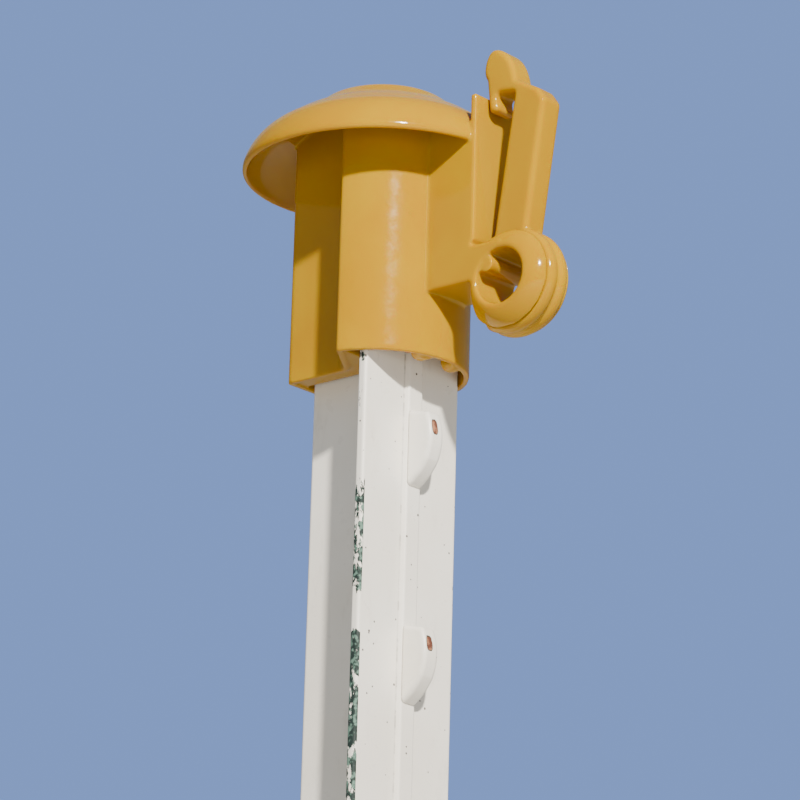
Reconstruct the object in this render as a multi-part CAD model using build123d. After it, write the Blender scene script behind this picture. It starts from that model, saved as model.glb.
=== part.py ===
from build123d import *
import os

# Safety cap and fence insulator on the top of a studded steel T-post.
# Millimetres. +Z runs up the post, the latch and the studs face -Y, the flange lies along X.
# The origin is on the stem, at the cut foot of the modelled post section.
# Heights named SOMETHING_z are measured from the sleeve's lower edge and lifted by SLEEVE_FOOT.

SLEEVE_FOOT = 142.0     # height of the sleeve's lower edge above the cut foot of the post

# --- post: a rolled T-section with a low rib and studs on its front face ---
POST_TOP_z = 58.0
FLANGE_W = 35.0
FLANGE_T = 2.6
FLANGE_FRONT_Y = -11.5
STEM_T = 3.2
STEM_END_Y = 20.0
RIB_BASE_W = 6.4
RIB_TOP_W = 4.8
RIB_H = 1.2
STUD_PITCH = 54.0
STUD_W = 5.2
STUD_REACH_Y = -19.8
STUD_TOP_z = 42.6       # top edge of the highest stud
STUD_H = 19.1
STUD_COUNT = 4

# --- sleeve: a round front lobe, two shoulders and a square stem lobe ---
LOBE_R = 22.6
SHOULDER_X = 21.9
SHOULDER_Y = -5.5
STEM_LOBE_X = 9.2
STEM_LOBE_END_Y = 22.3
SHOULDER_END_Y = 3.0
WALL = 1.5
FLANGE_ROOM_Y = -6.2    # back of the space that takes the flange
SLOT_W = 5.2            # slot for the stem
GUIDE_T = 1.5
GUIDE_FOOT_z = 0.6
GUIDE_FLOOR_T = 1.9
STOP_T = 2.4            # plate that stands on the post's top

# --- dome ---
DOME_R = 35.5
RIM_z = 52.4
CROWN_z = 73.4
DOME_WALL = 2.1
RIM_T = 1.1

# --- bracket, tape plate and hinge ---
PLATE_W = 15.0
BRACKET_FOOT_z = 16.0
PLATE_BACK_Y = -34.1
PLATE_FRONT_Y = -35.0
PAD_FRONT_Y = -35.9
PAD_FOOT_z = 26.2
PLATE_TOP_z = 64.5
BRACKET_WALL = 1.8
PIVOT_Y = -44.0
PIVOT_z = 15.6
EYE_R = 12.4            # at the eye's inner side; it slopes over to its face
EYE_FACE_R = 8.0
EYE_SOFT = 0.6          # radius round the bore's mouth
EYE_BORE_R = 7.0
WEB_TOP_z = 25.0
WEB_R = 8.4
BARREL_R = 8.0
KNUCKLE_BORE_R = 8.06
KNUCKLE_R = 13.2        # at the two crests of its rim
KNUCKLE_EDGE_R = 12.3
KNUCKLE_GROOVE_R = 12.3 # in the groove between the crests
KNUCKLE_W = 7.3
KNUCKLE_GAP = 0.25      # side play between the knuckle and each eye
KNUCKLE_CUT_Y = -37.2
ROPE_BAR_R = 2.1

# --- latch ---
ARM_W = 7.3
ARM_INNER_Y = -38.3     # inner face at the arm's foot
ARM_FOOT_z = 25.6
ARM_SOFT = 1.3          # radius along the arm's long edges


def extruded(face, low, high):
    """Extrude a face drawn on the XY plane between two heights."""
    return extrude(Pos(0, 0, low) * face, high - low)


def across(face, half):
    """Extrude a face drawn on the YZ plane by the same amount each way along X."""
    return extrude(face, half, both=True)


def outline(*points):
    return make_face(Polyline(*points, close=True))


def block(x, y, z):
    """A box between two limits on each axis."""
    size = [high - low for low, high in (x, y, z)]
    centre = [(high + low) / 2 for low, high in (x, y, z)]
    return Pos(*centre) * Box(*size)


# ---------------------------------------------------------------- post

def t_section():
    """The rolled section: flange, stem and the low rib down the flange's front."""
    back = FLANGE_FRONT_Y + FLANGE_T
    flange = Pos(0, (FLANGE_FRONT_Y + back) / 2) * Rectangle(FLANGE_W, FLANGE_T)
    stem = Pos(0, (back - 0.5 + STEM_END_Y) / 2) * Rectangle(STEM_T, STEM_END_Y - back + 0.5)
    rib = outline((-RIB_BASE_W / 2, FLANGE_FRONT_Y + 0.5), (-RIB_BASE_W / 2, FLANGE_FRONT_Y),
                  (-RIB_TOP_W / 2, FLANGE_FRONT_Y - RIB_H), (RIB_TOP_W / 2, FLANGE_FRONT_Y - RIB_H),
                  (RIB_BASE_W / 2, FLANGE_FRONT_Y), (RIB_BASE_W / 2, FLANGE_FRONT_Y + 0.5))
    section = flange + stem + rib
    corners = section.vertices()
    roots = corners.filter_by(lambda v: abs(v.Y - back) < 0.1 and abs(v.X) < STEM_T)
    section = fillet(roots, 2.2)
    corners = section.vertices()
    tips = corners.filter_by(lambda v: abs(v.X) > FLANGE_W / 2 - 0.1)
    section = fillet(tips, 0.8)
    corners = section.vertices()
    ends = corners.filter_by(lambda v: v.Y > STEM_END_Y - 0.1)
    section = fillet(ends, 1.0)
    corners = section.vertices()
    crests = corners.filter_by(lambda v: v.Y < FLANGE_FRONT_Y - RIB_H + 0.1)
    return fillet(crests, 0.7)


def t_post():
    bar = extruded(t_section(), 0, SLEEVE_FOOT + POST_TOP_z)
    ends = bar.edges().filter_by(lambda e: e.center().Z > SLEEVE_FOOT + POST_TOP_z - 0.01)
    return chamfer(ends, 0.3)


def post_studs():
    """Studs rolled up from the rib: a flat ledge above, a long slope below."""
    root = FLANGE_FRONT_Y - RIB_H
    top, foot = STUD_H / 2, -STUD_H / 2
    side = Plane.YZ * make_face(
        Polyline((root, foot), (root, top), (STUD_REACH_Y + 1.4, top - 1.2))
        + ThreePointArc((STUD_REACH_Y + 1.4, top - 1.2), (STUD_REACH_Y, 1.9),
                        (STUD_REACH_Y + 1.2, -3.6))
        + Spline((STUD_REACH_Y + 1.2, -3.6), (STUD_REACH_Y + 3.9, -7.1), (root, foot)))
    stud = across(side, STUD_W / 2)
    free = stud.edges().filter_by(lambda e: e.center().Y < root - 0.2)
    rims = free.filter_by(lambda e: abs(abs(e.center().X) - STUD_W / 2) < 0.01)
    stud = fillet(rims, 1.1)
    first = SLEEVE_FOOT + STUD_TOP_z - STUD_H / 2
    return Compound([Pos(0, 0, first - i * STUD_PITCH) * stud for i in range(STUD_COUNT)])


# ---------------------------------------------------------------- cap

def sleeve_section():
    """Outer outline of the sleeve: front lobe, sloping shoulders, square stem lobe."""
    lobe = make_face(
        ThreePointArc((-SHOULDER_X, SHOULDER_Y), (0, -LOBE_R), (SHOULDER_X, SHOULDER_Y))
        + Polyline((SHOULDER_X, SHOULDER_Y), (STEM_LOBE_X, SHOULDER_END_Y),
                   (-STEM_LOBE_X, SHOULDER_END_Y), (-SHOULDER_X, SHOULDER_Y)))
    middle_y = STEM_LOBE_END_Y / 2
    stem_lobe = Pos(0, middle_y) * Rectangle(2 * STEM_LOBE_X, STEM_LOBE_END_Y)
    section = lobe + stem_lobe
    hollows = section.vertices().filter_by(
        lambda v: abs(v.Y - SHOULDER_END_Y) < 0.1 and abs(v.X) > STEM_LOBE_X - 0.1)
    section = fillet(hollows, 4.0)
    corners = section.vertices().filter_by(lambda v: v.Y > STEM_LOBE_END_Y - 0.1)
    section = fillet(corners, 1.6)
    edges = section.vertices().filter_by(lambda v: abs(v.X) > SHOULDER_X - 0.1)
    return fillet(edges, 0.6)


def inner_section():
    """The space inside the sleeve's wall, all the way round."""
    return offset(sleeve_section(), -WALL)


def crown_arc(r, z, top):
    """A shallow arc from (r, z) to the axis, centred on the axis."""
    rise = top - z
    radius = (r * r + rise * rise) / (2 * rise)
    middle = top - radius + (radius ** 2 - (r / 2) ** 2) ** 0.5
    return ThreePointArc((r, z), (r / 2, middle), (0, top))


def dome_outer():
    """Half outline of the dome's outer face, from the rim up to the crown, as (r, z)."""
    shoulder = ThreePointArc((DOME_R, RIM_z + 1.6), (32.9, 59.3), (27.5, 63.9))
    slope = ThreePointArc((27.5, 63.9), (23.8, 66.3), (19.8, 68.3))
    step = ThreePointArc((19.8, 68.3), (18.1, 69.6), (16.4, 71.0))
    edge = ThreePointArc((16.4, 71.0), (14.7, 72.0), (12.6, 72.5))
    return shoulder + slope + step + edge + crown_arc(12.6, 72.5, CROWN_z)


def dome_inner():
    """Half outline of the dome's inner face, from the rim up to the crown."""
    shoulder = ThreePointArc((DOME_R - RIM_T, RIM_z), (31.6, 57.9), (26.2, 62.0))
    slope = ThreePointArc((26.2, 62.0), (19.6, 65.8), (14.2, 69.0))
    return shoulder + slope + crown_arc(14.2, 69.0, CROWN_z - DOME_WALL)


def spun(face):
    return Pos(0, 0, SLEEVE_FOOT) * revolve(Plane.XZ * face, Axis.Z)


def under_dome():
    """Everything below the dome's inner face, wide enough to hold the bracket."""
    foot = -20
    sides = Polyline((0, CROWN_z - DOME_WALL), (0, foot), (60, foot), (60, RIM_z),
                     (DOME_R - RIM_T, RIM_z))
    return spun(make_face(dome_inner() + sides))


def dome():
    """A mushroom dome with a low raised disc on top and a thin open rim."""
    crown = Line((0, CROWN_z), (0, CROWN_z - DOME_WALL))
    rim = Polyline((DOME_R - RIM_T, RIM_z), (DOME_R - 0.5, RIM_z), (DOME_R, RIM_z + 0.5),
                   (DOME_R, RIM_z + 1.6))
    shell = spun(make_face(dome_outer() + crown + dome_inner() + rim))
    notch = block((-PLATE_W / 2, PLATE_W / 2), (-60, PLATE_BACK_Y),
                  (SLEEVE_FOOT, SLEEVE_FOOT + 90))
    return shell - notch


def sleeve(room):
    """The shell that fits over the post, up to the dome's inner face."""
    tube = extruded(sleeve_section(), SLEEVE_FOOT, SLEEVE_FOOT + 80)
    tube -= extruded(inner_section(), SLEEVE_FOOT - 1, SLEEVE_FOOT + 81)
    return tube & room


def post_guides():
    """Two L-shaped walls behind the flange and beside the stem, with a floor at their foot."""
    foot, top = SLEEVE_FOOT + GUIDE_FOOT_z, SLEEVE_FOOT + POST_TOP_z
    stem_side = block((SLOT_W / 2, SLOT_W / 2 + GUIDE_T), (FLANGE_ROOM_Y, STEM_LOBE_END_Y),
                      (foot, top))
    flange_back = block((SLOT_W / 2, LOBE_R), (FLANGE_ROOM_Y, FLANGE_ROOM_Y + GUIDE_T),
                        (foot, top))
    floor = block((SLOT_W / 2, LOBE_R), (FLANGE_ROOM_Y, STEM_LOBE_END_Y),
                  (foot, foot + GUIDE_FLOOR_T))
    right = (stem_side + flange_back + floor) & extruded(inner_section(), foot, top)
    return Compound([right, mirror(right, Plane.YZ)])


def post_stop(room):
    """The plate across the sleeve's space that comes to rest on the post's top."""
    low = SLEEVE_FOOT + POST_TOP_z
    return extruded(inner_section(), low, low + STOP_T) & room


def guide_fingers():
    """Two round-ended ribs inside the front wall, one each side of the studs' path."""
    inner_r = LOBE_R - WALL
    foot, top = SLEEVE_FOOT - 0.6, SLEEVE_FOOT + 14
    finger = block((3.0, 8.4), (-inner_r, -17.4), (foot, top))
    ends = finger.edges().filter_by(Axis.Y).filter_by(lambda e: e.center().Z < foot + 0.1)
    finger = fillet(ends, 2.2)
    finger &= extruded(Circle(inner_r - 0.02), foot - 1, top + 1)
    return Compound([finger, mirror(finger, Plane.YZ)])


def bracket_box(room):
    """The closed box that carries the tape plate in front of the sleeve."""
    half = PLATE_W / 2
    low = SLEEVE_FOOT + BRACKET_FOOT_z
    outer = block((-half, half), (PLATE_BACK_Y, -LOBE_R + 3), (low, SLEEVE_FOOT + 75))
    inner = block((-half + BRACKET_WALL, half - BRACKET_WALL),
                  (PLATE_BACK_Y + BRACKET_WALL, -LOBE_R - BRACKET_WALL),
                  (low + BRACKET_WALL, SLEEVE_FOOT + 76))
    lobe = extruded(Circle(LOBE_R), SLEEVE_FOOT - 1, SLEEVE_FOOT + 80)
    return (outer - inner - lobe) & room


def tape_plate():
    """The flat plate with a proud pad that the tape lies against."""
    half = PLATE_W / 2
    foot = SLEEVE_FOOT + BRACKET_FOOT_z
    top = SLEEVE_FOOT + PLATE_TOP_z
    plate = block((-half, half), (PLATE_FRONT_Y, PLATE_BACK_Y), (foot, top))
    pad = block((-half, half), (PAD_FRONT_Y, PLATE_FRONT_Y), (SLEEVE_FOOT + PAD_FOOT_z, top))
    lower = pad.edges().filter_by(Axis.X).filter_by(
        lambda e: e.center().Y < PAD_FRONT_Y + 0.1 and e.center().Z < top - 1)
    pad = fillet(lower, 0.75)
    both = plate + pad
    front = both.edges().filter_by(
        lambda e: e.center().Y < PAD_FRONT_Y + 0.1 and e.center().Z > SLEEVE_FOOT + 40)
    return fillet(front, 0.35)


def pivot_disc(radius):
    return Pos(PIVOT_Y, SLEEVE_FOOT + PIVOT_z) * Circle(radius)


def about_pivot(face):
    """Revolve a face drawn as (distance along X, radius) about the latch's pivot."""
    return Pos(0, PIVOT_Y, SLEEVE_FOOT + PIVOT_z) * revolve(Plane.XZ * face, Axis.X)


def eye_profile():
    """Half section of the right eye: a flat face, rounded over to its inner side."""
    inner_x, outer_x = KNUCKLE_W / 2 + KNUCKLE_GAP, PLATE_W / 2
    over = ThreePointArc((inner_x, EYE_R), (outer_x - 1.4, EYE_R - 1.8), (outer_x, EYE_FACE_R))
    face = make_face(over + Polyline((outer_x, EYE_FACE_R), (outer_x, EYE_BORE_R),
                                     (inner_x, EYE_BORE_R), (inner_x, EYE_R)))
    mouth = face.vertices().filter_by(
        lambda v: v.X > outer_x - 0.01 and v.Y < EYE_BORE_R + 0.01)
    return fillet(mouth, EYE_SOFT)


def hinge_eyes():
    """Two eyes that stand off the plate's foot and hold the barrel between them."""
    inner_x, outer_x = KNUCKLE_W / 2 + KNUCKLE_GAP, PLATE_W / 2
    foot, top = SLEEVE_FOOT + PIVOT_z, SLEEVE_FOOT + WEB_TOP_z
    web = block((inner_x, outer_x), (PIVOT_Y, PLATE_FRONT_Y), (foot, top))
    upper = web.edges().filter_by(Axis.Y).filter_by(
        lambda e: e.center().X > outer_x - 0.01 and e.center().Z > top - 0.01)
    web = fillet(upper, 0.8) - across(Plane.YZ * pivot_disc(WEB_R), PLATE_W)
    beyond = block((0, 20), (PLATE_FRONT_Y, 0), (foot - 30, top + 30))
    eye = about_pivot(eye_profile()) + web - beyond
    return Compound([eye, mirror(eye, Plane.YZ)])


def hinge_barrel():
    """The hollow barrel between the eyes. The latch turns on it."""
    tube = Plane.YZ * (pivot_disc(BARREL_R) - pivot_disc(EYE_BORE_R))
    return across(tube, KNUCKLE_W / 2 + KNUCKLE_GAP)


def rope_bar():
    """A rounded bar along the barrel's bore, which the rope is pulled against."""
    centre = Pos(PIVOT_Y + 4.6, SLEEVE_FOOT + PIVOT_z + 4.0)
    face = Plane.YZ * ((centre * Circle(ROPE_BAR_R)) & pivot_disc(EYE_BORE_R))
    return across(face, PLATE_W / 2 - 0.6)


# ---------------------------------------------------------------- latch

def latch_side():
    """The arm, its hooked prong and its thumb tab: an outline softened all round."""
    throat = [(-44.6, 64.2), (-38.8, 65.0)]
    prong = [(-39.6, 60.4), (-36.7, 60.1)]
    tab_root = (-35.7, 69.0)
    tab = [(-35.0, 73.4), (-37.4, 76.8), (-40.9, 75.5), (-43.8, 71.4), (-44.9, 67.4)]
    shoulder = [(-51.8, 63.5), (-54.0, 60.4)]
    arm_foot = [(-48.6, ARM_FOOT_z - 2), (ARM_INNER_Y, ARM_FOOT_z - 2)]
    lifted = [(y, SLEEVE_FOOT + z) for y, z in
              throat + prong + [tab_root] + tab + shoulder + arm_foot]
    straight = Polyline(*lifted[9:], *lifted[:5])
    rounded = Spline(*lifted[4:10])
    side = make_face(straight + rounded)
    corners = side.vertices()
    hook = corners.filter_by(
        lambda v: SLEEVE_FOOT + 60 < v.Y < SLEEVE_FOOT + 65.5 and v.X > -46)
    side = fillet(hook, 1.0)
    corners = side.vertices()
    outer = corners.filter_by(lambda v: v.X < -50)
    side = fillet(outer, 1.7)
    solid = across(Plane.YZ * side, ARM_W / 2)
    return fillet(side_rims(solid), ARM_SOFT)


def side_rims(solid):
    """The edges round the latch's two side faces."""
    return solid.edges().filter_by(lambda e: abs(abs(e.center().X) - ARM_W / 2) < 0.01)


def knuckle_profile():
    """Half section of the knuckle: a rim with two rounded crests and a groove between them."""
    half, crest, groove = KNUCKLE_W / 2, 2.0, 0.5
    rise = (KNUCKLE_R + KNUCKLE_GROOVE_R) / 2
    rim = (ThreePointArc((-half, KNUCKLE_EDGE_R), (-crest, KNUCKLE_R), (-groove, rise))
           + ThreePointArc((-groove, rise), (0, KNUCKLE_GROOVE_R), (groove, rise))
           + ThreePointArc((groove, rise), (crest, KNUCKLE_R), (half, KNUCKLE_EDGE_R)))
    sides = Polyline((half, KNUCKLE_EDGE_R), (half, KNUCKLE_BORE_R), (-half, KNUCKLE_BORE_R),
                     (-half, KNUCKLE_EDGE_R))
    return make_face(rim + sides)


def latch():
    """The whole swinging latch, in one piece: arm, hook, thumb tab and knuckle."""
    foot = SLEEVE_FOOT + PIVOT_z
    low_cut = block((-20, 20), (KNUCKLE_CUT_Y, 0), (foot - 30, foot))
    high_cut = block((-20, 20), (ARM_INNER_Y, 0), (foot, foot + 30))
    knuckle = about_pivot(knuckle_profile()) - low_cut - high_cut
    return latch_side() + knuckle - across(Plane.YZ * pivot_disc(KNUCKLE_BORE_R), ARM_W)


def latch_pieces():
    """The latch cut into its three regions by level planes."""
    whole = latch()
    far = 200
    knuckle_top = SLEEVE_FOOT + PIVOT_z + KNUCKLE_R
    hook_foot = SLEEVE_FOOT + 59.0
    knuckle = whole & block((-far, far), (-far, far), (0, knuckle_top))
    arm = whole & block((-far, far), (-far, far), (knuckle_top, hook_foot))
    hook = whole & block((-far, far), (-far, far), (hook_foot, 2 * far))
    return knuckle, arm, hook


def main():
    room = under_dome()
    knuckle, arm, hook = latch_pieces()
    nodes = {
        "t_post": t_post(),
        "post_studs": post_studs(),
        "dome": dome(),
        "sleeve": sleeve(room),
        "post_guides": post_guides(),
        "post_stop": post_stop(room),
        "guide_fingers": guide_fingers(),
        "bracket_box": bracket_box(room),
        "tape_plate": tape_plate(),
        "hinge_eyes": hinge_eyes(),
        "hinge_barrel": hinge_barrel(),
        "rope_bar": rope_bar(),
        "latch_knuckle": knuckle,
        "latch_arm": arm,
        "latch_hook": hook,
    }
    os.makedirs("parts", exist_ok=True)
    for name, shape in nodes.items():
        shape.label = name
        export_step(shape, f"parts/{name}.step")


main()
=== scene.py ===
import math
import bmesh
import bpy
from mathutils import Matrix, Vector


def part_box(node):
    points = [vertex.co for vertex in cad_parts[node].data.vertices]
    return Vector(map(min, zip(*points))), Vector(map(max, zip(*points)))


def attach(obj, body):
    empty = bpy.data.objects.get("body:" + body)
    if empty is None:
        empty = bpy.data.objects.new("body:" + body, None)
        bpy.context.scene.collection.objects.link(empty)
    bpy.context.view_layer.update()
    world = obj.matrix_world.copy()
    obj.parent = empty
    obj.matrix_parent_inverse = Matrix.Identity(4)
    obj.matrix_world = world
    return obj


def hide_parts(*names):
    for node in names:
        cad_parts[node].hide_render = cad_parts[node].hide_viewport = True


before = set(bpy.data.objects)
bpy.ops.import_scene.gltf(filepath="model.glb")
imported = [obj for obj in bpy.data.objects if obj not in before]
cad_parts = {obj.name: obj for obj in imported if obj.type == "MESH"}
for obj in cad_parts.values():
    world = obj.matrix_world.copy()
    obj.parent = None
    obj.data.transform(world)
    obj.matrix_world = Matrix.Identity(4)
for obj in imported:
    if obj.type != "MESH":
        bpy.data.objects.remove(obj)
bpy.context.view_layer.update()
MM = 0.001

# Places read from the frame.
POST_LOW, POST_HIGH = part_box("t_post")
STUD_LOW, STUD_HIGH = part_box("post_studs")
SLEEVE_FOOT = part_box("sleeve")[0][2]
FLANGE_X = POST_HIGH[0]

# The distance from one stud to the next.
STUD_PITCH = 54 * MM

# The post's paint damage, and where the painted crease shade runs. Heights are measured down from
# the sleeve's foot.
RIB_LINE_X = -3.25 * MM
CHIP_RUNS = ((33 * MM, 58 * MM, 4 * MM), (71 * MM, 150 * MM, 4 * MM), (-4 * MM, 2 * MM, 1 * MM))
PIT_COLOUR = (0.07, 0.055, 0.045, 1)
CREAM_DARK, CREAM_LIGHT = (0.92, 0.87, 0.77, 1), (0.965, 0.93, 0.85, 1)

# The camera's place, found by fitting it to the post's and the cap's edges.
CAMERA_AZIMUTH, CAMERA_ELEVATION, CAMERA_ROLL = -49.0, -17.6, 1.6
CAMERA_DISTANCE = 0.9877
AIM_RIGHT, AIM_DOWN = 5.5 * MM, 5.6 * MM

FLOOR_REACH = 6.0
FLOOR_GAP = 0.2 * MM

CAP_NODES = ("dome", "sleeve", "post_guides", "post_stop", "guide_fingers", "bracket_box",
             "tape_plate", "hinge_eyes", "hinge_barrel", "rope_bar")
LATCH_NODES = ("latch_knuckle", "latch_arm", "latch_hook")


# ---------------------------------------------------------------- node helpers

class Tree:
    """A small helper round one material's node tree."""

    def __init__(self, name):
        self.material = bpy.data.materials.new(name)
        self.material.use_nodes = True
        self.tree = self.material.node_tree
        self.shader = self.tree.nodes["Principled BSDF"]
        coords = self.tree.nodes.new("ShaderNodeTexCoord")
        self.place = coords.outputs["Object"]

    def add(self, kind, **settings):
        made = self.tree.nodes.new(kind)
        for key, value in settings.items():
            setattr(made, key, value)
        return made

    def put(self, value, socket):
        """Link an output, or set a constant."""
        if isinstance(value, bpy.types.NodeSocket):
            self.tree.links.new(value, socket)
        else:
            socket.default_value = value

    def math(self, operation, first, second=None, third=None, clamp=False):
        made = self.add("ShaderNodeMath", operation=operation, use_clamp=clamp)
        for index, value in enumerate((first, second, third)):
            if value is not None:
                self.put(value, made.inputs[index])
        return made.outputs[0]

    def axis(self, index, source=None):
        made = self.add("ShaderNodeSeparateXYZ")
        self.put(source or self.place, made.inputs[0])
        return made.outputs[index]

    def stretched(self, scale):
        """The object's coordinates, scaled apart along each axis."""
        made = self.add("ShaderNodeMapping")
        self.put(self.place, made.inputs["Vector"])
        made.inputs["Scale"].default_value = scale
        return made.outputs[0]

    def noise(self, scale, detail=2.0, rough=0.5, source=None):
        made = self.add("ShaderNodeTexNoise")
        self.put(source or self.place, made.inputs["Vector"])
        made.inputs["Scale"].default_value = scale
        made.inputs["Detail"].default_value = detail
        made.inputs["Roughness"].default_value = rough
        return made.outputs["Fac"]

    def cells(self, scale, source=None):
        made = self.add("ShaderNodeTexVoronoi")
        self.put(source or self.place, made.inputs["Vector"])
        made.inputs["Scale"].default_value = scale
        return made.outputs["Distance"], made.outputs["Color"]

    def between(self, value, low, high, out_low=0.0, out_high=1.0):
        """Map a value's range to another, held at both ends."""
        made = self.add("ShaderNodeMapRange", interpolation_type="SMOOTHSTEP")
        self.put(value, made.inputs["Value"])
        limits = (("From Min", low), ("From Max", high), ("To Min", out_low), ("To Max", out_high))
        for key, number in limits:
            made.inputs[key].default_value = number
        return made.outputs["Result"]

    def blend(self, amount, first, second):
        made = self.add("ShaderNodeMix", data_type="RGBA")
        self.put(amount, made.inputs["Factor"])
        self.put(first, made.inputs[6])
        self.put(second, made.inputs[7])
        return made.outputs[2]

    def relief(self, layers, edge_radius):
        """Bumps laid over each other on softened edges."""
        bevel = self.add("ShaderNodeBevel", samples=6)
        bevel.inputs["Radius"].default_value = edge_radius
        normal = bevel.outputs["Normal"]
        for height, distance, strength in layers:
            bump = self.add("ShaderNodeBump")
            bump.inputs["Strength"].default_value = strength
            bump.inputs["Distance"].default_value = distance
            self.put(height, bump.inputs["Height"])
            self.put(normal, bump.inputs["Normal"])
            normal = bump.outputs["Normal"]
        self.put(normal, self.shader.inputs["Normal"])

    def finish(self, colour, roughness):
        self.put(colour, self.shader.inputs["Base Color"])
        self.put(roughness, self.shader.inputs["Roughness"])
        return self.material


# ---------------------------------------------------------------- materials

def moulded_plastic(name):
    """Glossy yellow polyethylene: slow colour drift, flow streaks, dust, fine orange peel
    and a little light scattered inside."""
    light, deep = (0.48, 0.264, 0.0, 1), (0.455, 0.230, 0.0, 1)
    t = Tree(name)
    drift = t.between(t.noise(38, 3), 0.35, 0.65)
    streaks = t.between(t.noise(90, 3, source=t.stretched((1, 1, 0.12))), 0.45, 0.7)
    colour = t.blend(drift, light, deep)
    colour = t.blend(t.math("MULTIPLY", streaks, 0.25), colour, deep)
    specks, _ = t.cells(1500)
    dust = t.between(specks, 0.10, 0.04)
    dusty = t.math("MULTIPLY", dust, t.between(t.noise(160, 2), 0.55, 0.7))
    colour = t.blend(t.math("MULTIPLY", dusty, 0.22), colour, (0.60, 0.38, 0.10, 1))
    wear = t.noise(420, 4, 0.6)
    rough = t.math("ADD", t.between(wear, 0.3, 0.75, 0.08, 0.14), t.math("MULTIPLY", streaks, 0.04))
    peel = t.noise(700, 2)
    waves = t.noise(70, 1)
    t.relief([(waves, 0.0004, 0.06), (peel, 0.00004, 0.22), (dusty, 0.00003, 0.3)], 0.0004)
    shader = t.shader.inputs
    shader["IOR"].default_value = 1.42
    shader["Specular IOR Level"].default_value = 0.36
    shader["Subsurface Weight"].default_value = 0.30
    shader["Subsurface Radius"].default_value = (1.0, 0.30, 0.02)
    shader["Subsurface Scale"].default_value = 5 * MM
    return t.finish(colour, rough)


def band(t, value, low, high, soft):
    """1 between two limits, falling off over a soft distance at both ends."""
    rising = t.between(value, low - soft, low)
    return t.math("MULTIPLY", rising, t.between(value, high + soft, high))


def post_paint(name):
    """Cream paint on rolled steel: slow tone changes, pin pits, chips along the near edge, and a
    painted shade line in the rib's crease.
    """
    t = Tree(name)
    x, y, z = (t.axis(i) for i in range(3))
    front_y = POST_LOW[1]
    tone = t.between(t.noise(30, 4), 0.3, 0.7)
    colour = t.blend(tone, CREAM_DARK, CREAM_LIGHT)
    grime = t.between(t.noise(210, 5, 0.65, source=t.stretched((1, 1, 0.3))), 0.56, 0.78)
    colour = t.blend(t.math("MULTIPLY", grime, 0.28), colour, (0.58, 0.53, 0.45, 1))
    # Pin pits, small and of different sizes.
    distance, tint = t.cells(520)
    size = t.between(t.axis(0, tint), 0.72, 1.0, 0.0, 0.16)
    pits = t.math("LESS_THAN", distance, size)
    # Painted shade: a fine grey line in the crease where the rib leaves the flange, with a few dark
    # breaks.
    off_line = t.math("ABSOLUTE", t.math("SUBTRACT", x, RIB_LINE_X))
    line = t.between(off_line, 0.24 * MM, 0.08 * MM)
    front = t.between(y, front_y + 1.6 * MM, front_y + 0.9 * MM)
    broken = t.between(t.noise(300, 4, 0.7, source=t.stretched((0.2, 0.2, 1))), 0.48, 0.60,
                       0.35, 0.85)
    crease_shade = t.math("MULTIPLY", t.math("MULTIPLY", line, front), broken)
    # Long runs of chips down the flange's left edge, and a few on its right edge.
    torn = t.noise(640, 6, 0.68, source=t.stretched((1, 1, 0.45)))
    patches = t.noise(120, 3, 0.6, source=t.stretched((0.3, 0.3, 1)))
    left = t.between(x, -FLANGE_X + 1.3 * MM, -FLANGE_X + 0.5 * MM)
    edge = t.between(y, front_y + 4.6 * MM, front_y + 3.4 * MM)
    down = t.math("SUBTRACT", SLEEVE_FOOT, z)
    upper, lower, top = (band(t, down, *run) for run in CHIP_RUNS)
    runs = t.math("MAXIMUM", t.math("MAXIMUM", upper, lower), top)
    level = t.math("ADD", t.math("MULTIPLY", torn, 0.75), t.math("MULTIPLY", patches, 0.50))
    cut = t.between(runs, 0.0, 1.0, 0.80, 0.585)
    chips = t.math("GREATER_THAN", level, cut)
    chips = t.math("MULTIPLY", chips, t.math("MULTIPLY", left, edge))
    right = t.between(x, FLANGE_X - 1.0 * MM, FLANGE_X - 0.3 * MM)
    far_chips = t.math("MULTIPLY", t.math("GREATER_THAN", level, 0.73),
                       t.math("MULTIPLY", right, edge))
    chips = t.math("GREATER_THAN", t.math("MAXIMUM", chips, far_chips), 0.5)
    under = t.blend(t.between(t.noise(900, 3), 0.46, 0.62), (0.012, 0.026, 0.022, 1),
                    (0.13, 0.23, 0.18, 1))
    colour = t.blend(pits, colour, PIT_COLOUR)
    # Painted shade: the crease line darkens the paint.
    colour = t.blend(t.math("MULTIPLY", crease_shade, 0.7), colour, (0.10, 0.09, 0.08, 1))
    colour = t.blend(chips, colour, under)
    rough = t.between(t.noise(260, 4, 0.6), 0.3, 0.7, 0.26, 0.44)
    rough = t.math("ADD", rough, t.math("MULTIPLY", chips, 0.35), clamp=True)
    holes = t.math("SUBTRACT", 1.0, t.math("MAXIMUM", t.math("MAXIMUM", pits, chips), crease_shade))
    t.relief([(t.noise(120, 3), 0.0005, 0.15), (t.noise(1500, 3), 0.00004, 0.3),
              (holes, 0.00018, 0.7)], 0.0005)
    return t.finish(colour, rough)


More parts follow.
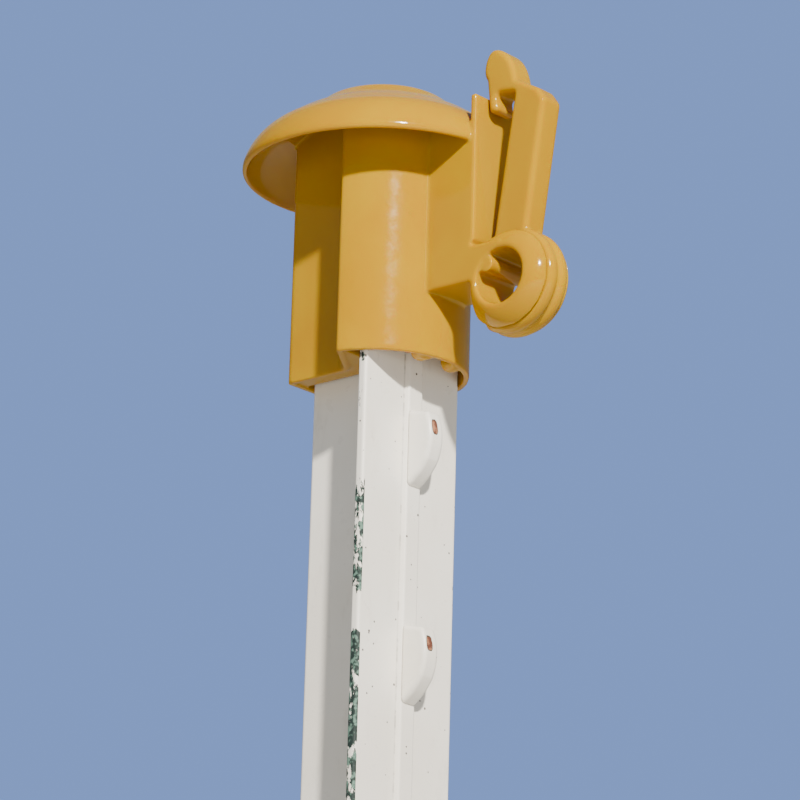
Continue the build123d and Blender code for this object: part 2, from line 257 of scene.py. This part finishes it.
def stud_paint(name):
    """The same paint on the studs, with a small rusty spot high on the front of each."""
    t = Tree(name)
    x, y, z = (t.axis(i) for i in range(3))
    tone = t.between(t.noise(40, 4), 0.3, 0.7)
    colour = t.blend(tone, CREAM_DARK, CREAM_LIGHT)
    # Height within each stud's own pitch, measured down from its top edge.
    below = t.math("MODULO", t.math("SUBTRACT", STUD_HIGH[2] + 0.1 * MM, z), STUD_PITCH)
    front = t.between(y, STUD_LOW[1] + 2.6 * MM, STUD_LOW[1] + 0.9 * MM)
    spot = t.math("MULTIPLY", front, band(t, below, 4.6 * MM, 5.8 * MM, 2.8 * MM))
    spot = t.math("MULTIPLY", spot, band(t, x, -1.1 * MM, -0.4 * MM, 1.5 * MM))
    torn = t.noise(330, 5, 0.65)
    level = t.math("MULTIPLY", spot, t.math("ADD", torn, 0.30))
    ring = t.math("GREATER_THAN", level, 0.42)
    worn = t.math("GREATER_THAN", level, 0.54)
    rust = t.blend(t.between(t.noise(650, 4), 0.4, 0.6), (0.14, 0.045, 0.025, 1),
                   (0.42, 0.19, 0.10, 1))
    colour = t.blend(ring, colour, (0.03, 0.03, 0.024, 1))
    colour = t.blend(worn, colour, rust)
    distance, tint = t.cells(520)
    pits = t.math("LESS_THAN", distance, t.between(t.axis(0, tint), 0.88, 1.0, 0.0, 0.13))
    colour = t.blend(pits, colour, PIT_COLOUR)
    rough = t.math("ADD", t.between(torn, 0.3, 0.7, 0.26, 0.42), t.math("MULTIPLY", ring, 0.4))
    solid = t.math("SUBTRACT", 1.0, t.math("MAXIMUM", ring, pits))
    t.relief([(t.noise(260, 3), 0.0006, 0.25), (solid, 0.00018, 0.7)], 0.0009)
    return t.finish(colour, rough)


def assign(node, material):
    """Give a CAD node its finished material."""
    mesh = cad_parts[node].data
    mesh.materials.clear()
    mesh.materials.append(material)


def applied(piece):
    """Replace a piece's mesh with the result of its modifiers."""
    graph = bpy.context.evaluated_depsgraph_get()
    mesh = bpy.data.meshes.new_from_object(piece.evaluated_get(graph))
    piece.modifiers.clear()
    piece.data = mesh


def moulding(name, nodes, body, material, voxel, passes, keep):
    """One seamless skin over a moulding's nodes: joined, remeshed, softened and thinned out."""
    joined = bmesh.new()
    for node in nodes:
        joined.from_mesh(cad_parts[node].data)
    mesh = bpy.data.meshes.new(name)
    joined.to_mesh(mesh)
    joined.free()
    mesh.materials.clear()
    piece = bpy.data.objects.new(name, mesh)
    bpy.context.collection.objects.link(piece)
    skin = piece.modifiers.new("skin", "REMESH")
    skin.mode = "VOXEL"
    skin.voxel_size = voxel
    soften = piece.modifiers.new("soften", "SMOOTH")
    soften.factor = 0.5
    soften.iterations = passes
    thin = piece.modifiers.new("thin", "DECIMATE")
    thin.ratio = keep
    applied(piece)
    piece.data.materials.clear()
    piece.data.materials.append(material)
    piece.data.polygons.foreach_set("use_smooth", [True] * len(piece.data.polygons))
    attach(piece, body)
    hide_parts(*nodes)
    return piece


def dress():
    assign("t_post", post_paint("post_paint"))
    assign("post_studs", stud_paint("stud_paint"))
    cap = moulded_plastic("cap_plastic")
    latch = moulded_plastic("latch_plastic")
    moulding("cap_moulding", CAP_NODES, "cap", cap,
             voxel=0.40 * MM, passes=5, keep=0.30)
    moulding("latch_moulding", LATCH_NODES, "latch", latch,
             voxel=0.30 * MM, passes=9, keep=0.60)


# ---------------------------------------------------------------- stage

def one_sided(name, colour):
    """A plain pale surface that is clear when seen from behind."""
    material = bpy.data.materials.new(name)
    material.use_nodes = True
    tree = material.node_tree
    shader = tree.nodes["Principled BSDF"]
    shader.inputs["Base Color"].default_value = colour
    shader.inputs["Roughness"].default_value = 0.8
    clear = tree.nodes.new("ShaderNodeBsdfTransparent")
    facing = tree.nodes.new("ShaderNodeNewGeometry")
    mix = tree.nodes.new("ShaderNodeMixShader")
    tree.links.new(facing.outputs["Backfacing"], mix.inputs[0])
    tree.links.new(shader.outputs[0], mix.inputs[1])
    tree.links.new(clear.outputs[0], mix.inputs[2])
    tree.links.new(mix.outputs[0], tree.nodes["Material Output"].inputs["Surface"])
    return material


def make_floor():
    """A pale floor at the post's foot. The camera looks up from below its level."""
    mesh = bpy.data.meshes.new("floor")
    turns = ((-1, -1), (1, -1), (1, 1), (-1, 1))
    corners = [(x * FLOOR_REACH, y * FLOOR_REACH, 0) for x, y in turns]
    mesh.from_pydata(corners, [], [(0, 1, 2, 3)])
    floor = bpy.data.objects.new("floor", mesh)
    bpy.context.collection.objects.link(floor)
    floor.location.z = POST_LOW[2] - FLOOR_GAP
    mesh.materials.append(one_sided("floor_paper", (0.56, 0.56, 0.55, 1)))


def direction(azimuth, elevation):
    """Unit vector from the object towards a viewer: azimuth 0 is at -Y, 90 is at +X."""
    a, e = math.radians(azimuth), math.radians(elevation)
    return Vector((math.sin(a) * math.cos(e), -math.cos(a) * math.cos(e), math.sin(e)))


def lamp(name, azimuth, elevation, distance, size, power, colour, aim):
    light = bpy.data.lights.new(name, "AREA")
    light.shape = "DISK"
    light.size = size
    light.energy = power
    light.color = colour
    obj = bpy.data.objects.new(name, light)
    bpy.context.collection.objects.link(obj)
    towards = direction(azimuth, elevation)
    obj.location = aim + towards * distance
    obj.rotation_euler = towards.to_track_quat("Z", "Y").to_euler()


def make_lights(aim):
    """A pale blue backdrop, a dimmer sky that lights the object, and three lamps."""
    world = bpy.data.worlds.new("studio")
    bpy.context.scene.world = world
    world.use_nodes = True
    tree = world.node_tree
    light = tree.nodes["Background"]
    light.inputs["Color"].default_value = (0.68, 0.80, 1.0, 1)
    light.inputs["Strength"].default_value = 0.24
    backdrop = tree.nodes.new("ShaderNodeBackground")
    backdrop.inputs["Color"].default_value = (0.27, 0.43, 0.95, 1)
    backdrop.inputs["Strength"].default_value = 0.80
    path = tree.nodes.new("ShaderNodeLightPath")
    mix = tree.nodes.new("ShaderNodeMixShader")
    tree.links.new(path.outputs["Is Camera Ray"], mix.inputs[0])
    tree.links.new(light.outputs[0], mix.inputs[1])
    tree.links.new(backdrop.outputs[0], mix.inputs[2])
    tree.links.new(mix.outputs[0], tree.nodes["World Output"].inputs["Surface"])
    lamp("key", azimuth=-35, elevation=28.5, distance=2.4, size=0.13, power=134,
         colour=(1.0, 0.95, 0.87), aim=aim)
    lamp("fill", azimuth=-120, elevation=10, distance=2.2, size=1.6, power=1.5,
         colour=(0.95, 0.97, 1.0), aim=aim)
    lamp("back", azimuth=140, elevation=35, distance=2.4, size=1.4, power=1,
         colour=(1.0, 0.97, 0.93), aim=aim)


def make_camera():
    """Looks up at the cap from below, turned to the left of the studs."""
    back = direction(CAMERA_AZIMUTH, CAMERA_ELEVATION)
    right = back.cross(Vector((0, 0, 1))).normalized() * -1
    up = back.cross(right)
    turn = math.radians(CAMERA_ROLL)
    right, up = (right * math.cos(turn) + up * math.sin(turn),
                 up * math.cos(turn) - right * math.sin(turn))
    sleeve_foot = Vector((0, 0, SLEEVE_FOOT))
    aim = sleeve_foot + right * AIM_RIGHT - up * AIM_DOWN
    data = bpy.data.cameras.new("camera")
    data.lens = 180
    data.sensor_width = 36
    camera = bpy.data.objects.new("camera", data)
    bpy.context.collection.objects.link(camera)
    turned = Matrix((right, up, back)).transposed().to_4x4()
    camera.matrix_world = Matrix.Translation(aim + back * CAMERA_DISTANCE) @ turned
    bpy.context.scene.camera = camera
    return aim


dress()
aim = make_camera()
make_floor()
make_lights(aim)
